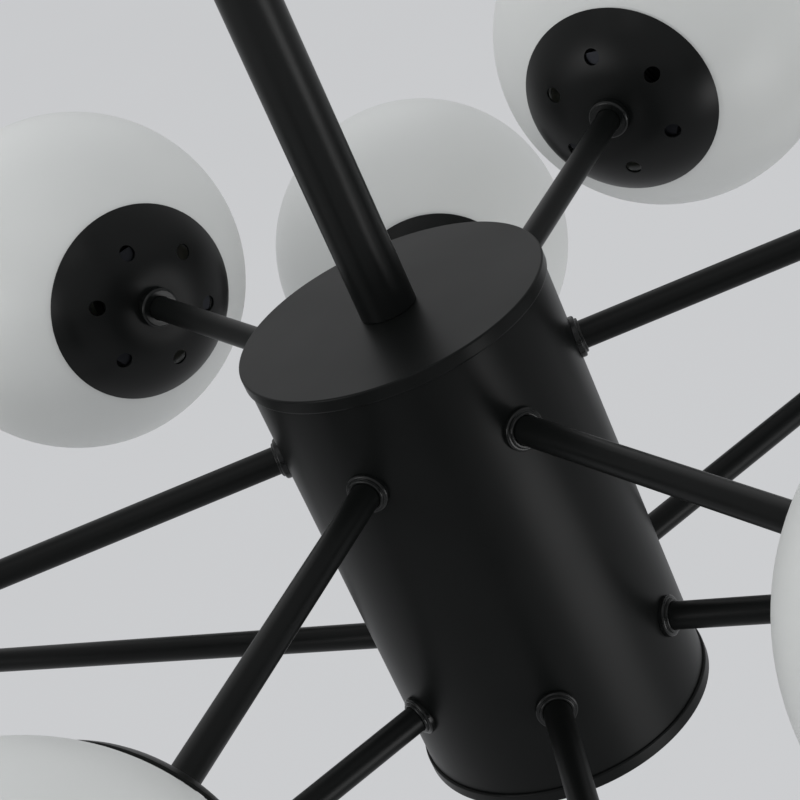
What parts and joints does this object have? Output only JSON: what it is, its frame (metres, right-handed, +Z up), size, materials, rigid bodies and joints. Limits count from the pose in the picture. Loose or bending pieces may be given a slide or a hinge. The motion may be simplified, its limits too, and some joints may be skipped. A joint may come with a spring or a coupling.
{
  "type": "sputnik chandelier",
  "caption": "Black sputnik chandelier: a drum hub on a stem, straight radial arms in two staggered tiers, vented dishes and opal glass globes, on a swivelling ceiling canopy.",
  "frame": {"origin": "middle of the canopy on the ceiling plane, where the bracket's upper face lies", "axes": "+Z up to the ceiling, so the lamp hangs into -Z; +X along the first arm of the upper tier; +Y along a line of the lower tier"},
  "size_m": [0.7908, 0.89, 0.674],
  "materials": {
    "bracket_steel": "zinc plated",
    "black_coat": "satin powder coat",
    "plain_steel": "plain",
    "terminal_plastic": "matte",
    "spring_steel": "plain",
    "opal_glass": "satin opal",
    "holder_plastic": "matte",
    "bulb_plastic": "satin opal"
  },
  "bodies": {
    "ceiling": {"ceiling_bracket": "bracket_steel", "canopy_cover": "black_coat", "canopy_screws": "black_coat", "canopy_nipple": "plain_steel", "nipple_nuts": "plain_steel", "terminal_block": "terminal_plastic"},
    "swivel": {"swivel_fork": "black_coat", "swivel_pin": "black_coat"},
    "chandelier": {"swivel_knuckle": "black_coat", "stem_tube": "black_coat", "stem_plug": "plain_steel", "tie_rod": "plain_steel", "hub_lid": "black_coat", "hub_base": "black_coat", "hub_tube": "black_coat", "lid_washer": "plain_steel", "base_finial": "black_coat", "arm_upper_1": "black_coat", "dish_upper_1": "black_coat", "arm_upper_2": "black_coat", "dish_upper_2": "black_coat", "arm_upper_3": "black_coat", "dish_upper_3": "black_coat", "arm_upper_4": "black_coat", "dish_upper_4": "black_coat", "arm_upper_5": "black_coat", "dish_upper_5": "black_coat", "arm_upper_6": "black_coat", "dish_upper_6": "black_coat", "arm_lower_1": "black_coat", "dish_lower_1": "black_coat", "arm_lower_2": "black_coat", "dish_lower_2": "black_coat", "arm_lower_3": "black_coat", "dish_lower_3": "black_coat", "arm_lower_4": "black_coat", "dish_lower_4": "black_coat", "arm_lower_5": "black_coat", "dish_lower_5": "black_coat", "arm_lower_6": "black_coat", "dish_lower_6": "black_coat", "arm_collars": "black_coat", "dish_ferrules": "black_coat", "lock_nuts": "plain_steel", "globe_springs": "spring_steel", "lampholders": "holder_plastic", "bulbs": "bulb_plastic"},
    "loose_globe_upper_1": {"globe_upper_1": "opal_glass"},
    "loose_globe_upper_2": {"globe_upper_2": "opal_glass"},
    "loose_globe_upper_3": {"globe_upper_3": "opal_glass"},
    "loose_globe_upper_4": {"globe_upper_4": "opal_glass"},
    "loose_globe_upper_5": {"globe_upper_5": "opal_glass"},
    "loose_globe_upper_6": {"globe_upper_6": "opal_glass"},
    "loose_globe_lower_1": {"globe_lower_1": "opal_glass"},
    "loose_globe_lower_2": {"globe_lower_2": "opal_glass"},
    "loose_globe_lower_3": {"globe_lower_3": "opal_glass"},
    "loose_globe_lower_4": {"globe_lower_4": "opal_glass"},
    "loose_globe_lower_5": {"globe_lower_5": "opal_glass"},
    "loose_globe_lower_6": {"globe_lower_6": "opal_glass"}
  },
  "joints": [
    {"name": "swivel_turn", "type": "hinge", "parent": "ceiling", "child": "swivel", "pos_m": [0, 0, -0.0265], "axis": [0, 0, 1], "range_deg": [-170, 170]},
    {"name": "swivel_tilt", "type": "hinge", "parent": "swivel", "child": "chandelier", "pos_m": [0, 0, -0.04805], "axis": [1, 0, 0], "range_deg": [-45, 45]},
    {"name": "globe_upper_1_pull", "type": "slide", "parent": "chandelier", "child": "loose_globe_upper_1", "axis": [1, 0, 0], "range_m": [0, 0.1]},
    {"name": "globe_upper_2_pull", "type": "slide", "parent": "chandelier", "child": "loose_globe_upper_2", "axis": [0.5, 0.866, 0], "range_m": [0, 0.1]},
    {"name": "globe_upper_3_pull", "type": "slide", "parent": "chandelier", "child": "loose_globe_upper_3", "axis": [-0.5, 0.866, 0], "range_m": [0, 0.1]},
    {"name": "globe_upper_4_pull", "type": "slide", "parent": "chandelier", "child": "loose_globe_upper_4", "axis": [-1, 0, 0], "range_m": [0, 0.1]},
    {"name": "globe_upper_5_pull", "type": "slide", "parent": "chandelier", "child": "loose_globe_upper_5", "axis": [-0.5, -0.866, 0], "range_m": [0, 0.1]},
    {"name": "globe_upper_6_pull", "type": "slide", "parent": "chandelier", "child": "loose_globe_upper_6", "axis": [0.5, -0.866, 0], "range_m": [0, 0.1]},
    {"name": "globe_lower_1_pull", "type": "slide", "parent": "chandelier", "child": "loose_globe_lower_1", "axis": [0.866, 0.5, 0], "range_m": [0, 0.1]},
    {"name": "globe_lower_2_pull", "type": "slide", "parent": "chandelier", "child": "loose_globe_lower_2", "axis": [0, 1, 0], "range_m": [0, 0.1]},
    {"name": "globe_lower_3_pull", "type": "slide", "parent": "chandelier", "child": "loose_globe_lower_3", "axis": [-0.866, 0.5, 0], "range_m": [0, 0.1]},
    {"name": "globe_lower_4_pull", "type": "slide", "parent": "chandelier", "child": "loose_globe_lower_4", "axis": [-0.866, -0.5, 0], "range_m": [0, 0.1]},
    {"name": "globe_lower_5_pull", "type": "slide", "parent": "chandelier", "child": "loose_globe_lower_5", "axis": [0, -1, 0], "range_m": [0, 0.1]},
    {"name": "globe_lower_6_pull", "type": "slide", "parent": "chandelier", "child": "loose_globe_lower_6", "axis": [0.866, -0.5, 0], "range_m": [0, 0.1]}
  ]
}
